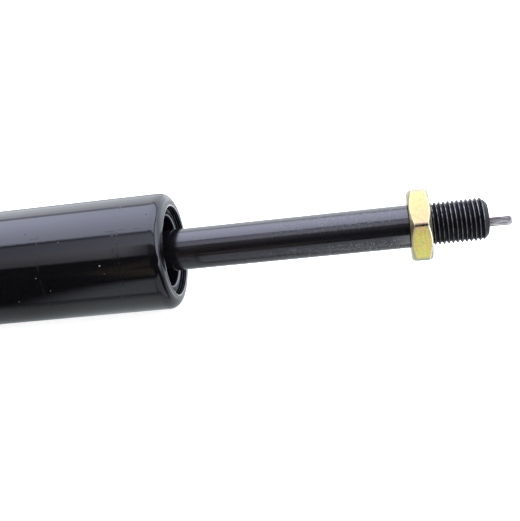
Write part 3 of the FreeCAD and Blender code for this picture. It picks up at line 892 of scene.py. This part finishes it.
def studio_light():
    """World light. Its level depends on the direction's angle round the axis, from the front over the top.

    The lower part of the front panel ends where directions lean less than 17 degrees to -X, and a brown glow
    lies low in front. Behind a dark gap, a second wall of light stands towards +X. The camera itself sees
    plain white above the floor.
    """
    world = bpy.data.worlds.new("studio")
    scene.world = world
    world.use_nodes = True
    tree = world.node_tree
    axes = along_axes(tree, node(tree, "TexCoord", {}).outputs["Generated"])
    slope = axes["X"]
    turn = reckon(tree, "ARCTAN2", axes["Z"], times(tree, axes["Y"], -1.0))

    # The front panel: its lower part cut off to the right, and dimmer far to the left
    below = level(tree, turn, deg(45.2), deg(46.7), 1.0, 0.0)
    cut = times(tree, below, level(tree, slope, -0.301, -0.297, 0.0, 0.97))
    lower = level(tree, turn, deg(69.7), deg(73.7), 1.0, 0.0)
    dim = times(tree, lower, level(tree, slope, -0.25, -0.47, -0.12, 0.36))
    panel = minus(tree, minus(tree, 1.0, cut), dim)

    # The wall towards +X: it begins where directions slope enough, sooner at the back and later low in front
    low = larger(tree, minus(tree, deg(82), turn), 0.0)
    rear = larger(tree, minus(tree, turn, deg(122)), 0.0)
    past = plus(tree, minus(tree, slope, 0.73), times(tree, rear, 0.573))
    past = minus(tree, past, times(tree, low, 0.143))
    wall = level(tree, past, 0.03, 0.06)
    gap = minus(tree, level(tree, past, -0.06, -0.03), wall)
    gap = times(tree, gap, level(tree, turn, deg(140), deg(144), 0.85, 0.0))
    strength = larger(tree, times(tree, panel, minus(tree, 1.0, gap)), wall)
    side = level(tree, turn, deg(120), deg(145))
    side = blend(tree, side, share_of_peak(WALL_FRONT), share_of_peak(WALL_BACK))

    background = tree.nodes["Background"]
    tree.links.new(blend(tree, wall, sky_colour(tree, turn), side), background.inputs["Color"])
    tree.links.new(times(tree, strength, SKY_PEAK), background.inputs["Strength"])
    glow = {"Color": (0.24, 0.185, 0.13, 1), "Strength": brown_glow(tree, turn, slope)}
    brown = node(tree, "Background", glow).outputs[0]
    both = node(tree, "AddShader", {0: background.outputs[0], 1: brown}).outputs[0]
    plain = node(tree, "Background", {"Color": (1, 1, 1, 1)}).outputs[0]
    seen = node(tree, "LightPath", {}).outputs["Is Camera Ray"]
    shown = node(tree, "MixShader", {0: seen, 1: both, 2: plain}).outputs[0]
    tree.links.new(shown, tree.nodes["World Output"].inputs["Surface"])


def stage_surface(name, points, faces, colour):
    """A dull surface of the studio, with the tree and the shader of its material."""
    mesh = bpy.data.meshes.new(name)
    mesh.from_pydata((np.array(points) * MM).tolist(), [], faces)
    made = bpy.data.objects.new(name, mesh)
    scene.collection.objects.link(made)
    material, tree, shader = finish(name)
    shader.inputs["Base Color"].default_value = colour
    shader.inputs["Roughness"].default_value = 0.9
    shader.inputs["Specular IOR Level"].default_value = 0.0
    mesh.materials.append(material)
    return made, tree, shader


def sheet(name, height, colour):
    """A flat square surface of the studio that reaches far beyond the picture."""
    reach = 3000
    corner = [(-reach, -reach), (reach, -reach), (reach, reach), (-reach, reach)]
    return stage_surface(name, [(x, y, height) for x, y in corner], [[0, 1, 2, 3]], colour)


def for_gloss_only(surface):
    """Hides a surface of the studio from all but mirror images."""
    surface.visible_camera = False
    surface.visible_diffuse = False
    surface.visible_shadow = False


def white_floor():
    """The floor that the camera sees. It glows, so that shadows on it are hardly there."""
    floor, _, shader = sheet("floor", -TUBE_R, (0.82, 0.82, 0.82, 1))
    shader.inputs["Emission Color"].default_value = (1, 1, 1, 1)
    shader.inputs["Emission Strength"].default_value = 0.9
    floor.visible_glossy = False
    floor.visible_shadow = False


def gloss_card():
    """The card that glossy surfaces mirror from below.

    Its glow is dimmed under the part and close behind it as painted shade, and brighter farther behind. In
    front it is a painted pool of light from the right, with a painted shadow before the mouth, and far in
    front it is brown.
    """
    under_white, front_white, brown = (0.92, 0.98, 1.03), (0.95, 1.0, 1.14), (1.0, 0.78, 0.56)
    card, tree, shader = sheet("gloss_card", -TUBE_R - 0.2, (0, 0, 0, 1))
    axes = along_axes(tree, place(tree))
    x, y = axes["X"], axes["Y"]

    # Painted shade under the part, back from a line that lies farther out in front of the tube than of the
    # rod
    beyond = plus(tree, y, level(tree, x, 0.149, 0.153, 0.02, 0.0095))
    near = level(tree, beyond, -0.0035, 0.0035)
    under = times(tree, near, level(tree, x, 0.108, 0.132, 0.42, 0.68))

    # In front of that line: a painted pool of light from the right, brighter before the nut, with a painted
    # shadow before the mouth
    lit = level(tree, plus(tree, x, times(tree, y, 0.5)), 0.088, 0.118)
    front = times(tree, lit, level(tree, y, -0.062, -0.044), level(tree, x, 0.16, 0.2, 0.78, 1.0))
    joined = minus(tree, beyond, level(tree, x, 0.172, 0.19, 0.0, 0.0035))
    before_nut = times(tree, level(tree, x, 0.2, 0.204, 0.0, 1.18), level(tree, x, 0.2115, 0.216, 1.0, 0.0))
    # The spot is a painted shadow before the mouth
    spot = times(tree, level(tree, x, 0.14, 0.144), level(tree, x, 0.145, 0.149, 0.5, 0.0))
    front = times(tree, front, level(tree, joined, -0.0005, -0.0035), plus(tree, before_nut, 1.0))
    front = times(tree, front, minus(tree, 1.0, spot))

    # Behind the part, dim close to it as painted shade, and to the right of the rod's end
    behind = times(tree, level(tree, y, 0.05, 0.09, 0.0, 0.9), level(tree, x, 0.15, 0.17))
    behind = plus(tree, behind, level(tree, y, -0.004, 0.004, 0.0, 0.5))
    right = times(tree, level(tree, x, 0.222, 0.245, 0.0, 2.6), level(tree, y, -0.11, -0.09),
                  level(tree, y, -0.006, -0.014))

    # Far in front, on the left
    far = times(tree, level(tree, y, -0.085, -0.07, 1.0, 0.0), level(tree, x, 0.18, 0.2, 1.0, 0.0))
    slant = minus(tree, x, times(tree, y, 0.4))
    glow = times(tree, far, level(tree, slant, 0.135, 0.165, 0.0, 0.3), level(tree, x, 0.16, 0.18, 1.0, 0.0))

    colour = blend(tree, far, blend(tree, near, front_white, under_white), brown)
    link(tree, shader, emission_color=colour, emission_strength=plus(tree, under, front, behind, right, glow))
    for_gloss_only(card)


def black_strip():
    """A black strip in front of the mouth that the rolled edge mirrors as a dark line.

    It lies in a plane across the axis and bends round it, from a little above the front to well below. Its
    edges run straight, in angle and radius, between four angles, and it is narrow at both ends.
    """
    bends, inner, outer = zip((164, 16, 17), (175, 14.2, 18.6), (188, 12.9, 16.6), (226, 15.1, 15.5))
    turn = np.linspace(bends[0], bends[-1], 63)
    angle, x = np.radians(turn), np.full_like(turn, TUBE_END + 3.7)
    radii = [np.interp(turn, bends, edge) for edge in (inner, outer)]
    edges = [np.stack([x, r * np.cos(angle), r * np.sin(angle)], 1) for r in radii]
    count = len(turn)
    faces = [[k, k + 1, count + k + 1, count + k] for k in range(count - 1)]
    strip, *_ = stage_surface("black_strip", np.concatenate(edges), faces, (0, 0, 0, 1))
    for_gloss_only(strip)


studio_light()
white_floor()
gloss_card()
black_strip()

# Camera: where the photograph was taken from

LEAN = deg(8.79)
ROLL = deg(5.606)
RISE = deg(30.8)
PIXELS_WIDE = 520
FOCAL_PIXELS = 781.0
DISTANCE = 184.74
AXIS_HEIGHT = 4.49
AIM = TUBE_END + 20.74


def photo_camera():
    """Camera near the rod, looking down at it, the rod's end nearer than the tube and a little higher."""
    lens = bpy.data.cameras.new("camera")
    lens.sensor_fit = "HORIZONTAL"
    lens.sensor_width = 36.0
    lens.lens = FOCAL_PIXELS / PIXELS_WIDE * lens.sensor_width
    lens.clip_start = 0.005
    back = Vector((math.sin(LEAN), -math.cos(LEAN) * math.cos(RISE), math.cos(LEAN) * math.sin(RISE)))
    level_right = (Vector((1, 0, 0)) - math.sin(LEAN) * back).normalized()
    level_up = back.cross(level_right)
    right = math.cos(ROLL) * level_right - math.sin(ROLL) * level_up
    up = math.sin(ROLL) * level_right + math.cos(ROLL) * level_up
    spot = Vector((AIM, 0, 0)) + DISTANCE * back - AXIS_HEIGHT * up
    camera = bpy.data.objects.new("camera", lens)
    camera.matrix_world = Matrix.Translation(spot * MM) @ Matrix((right, up, back)).transposed().to_4x4()
    scene.collection.objects.link(camera)
    scene.camera = camera


photo_camera()
scene.view_settings.view_transform = "Standard"
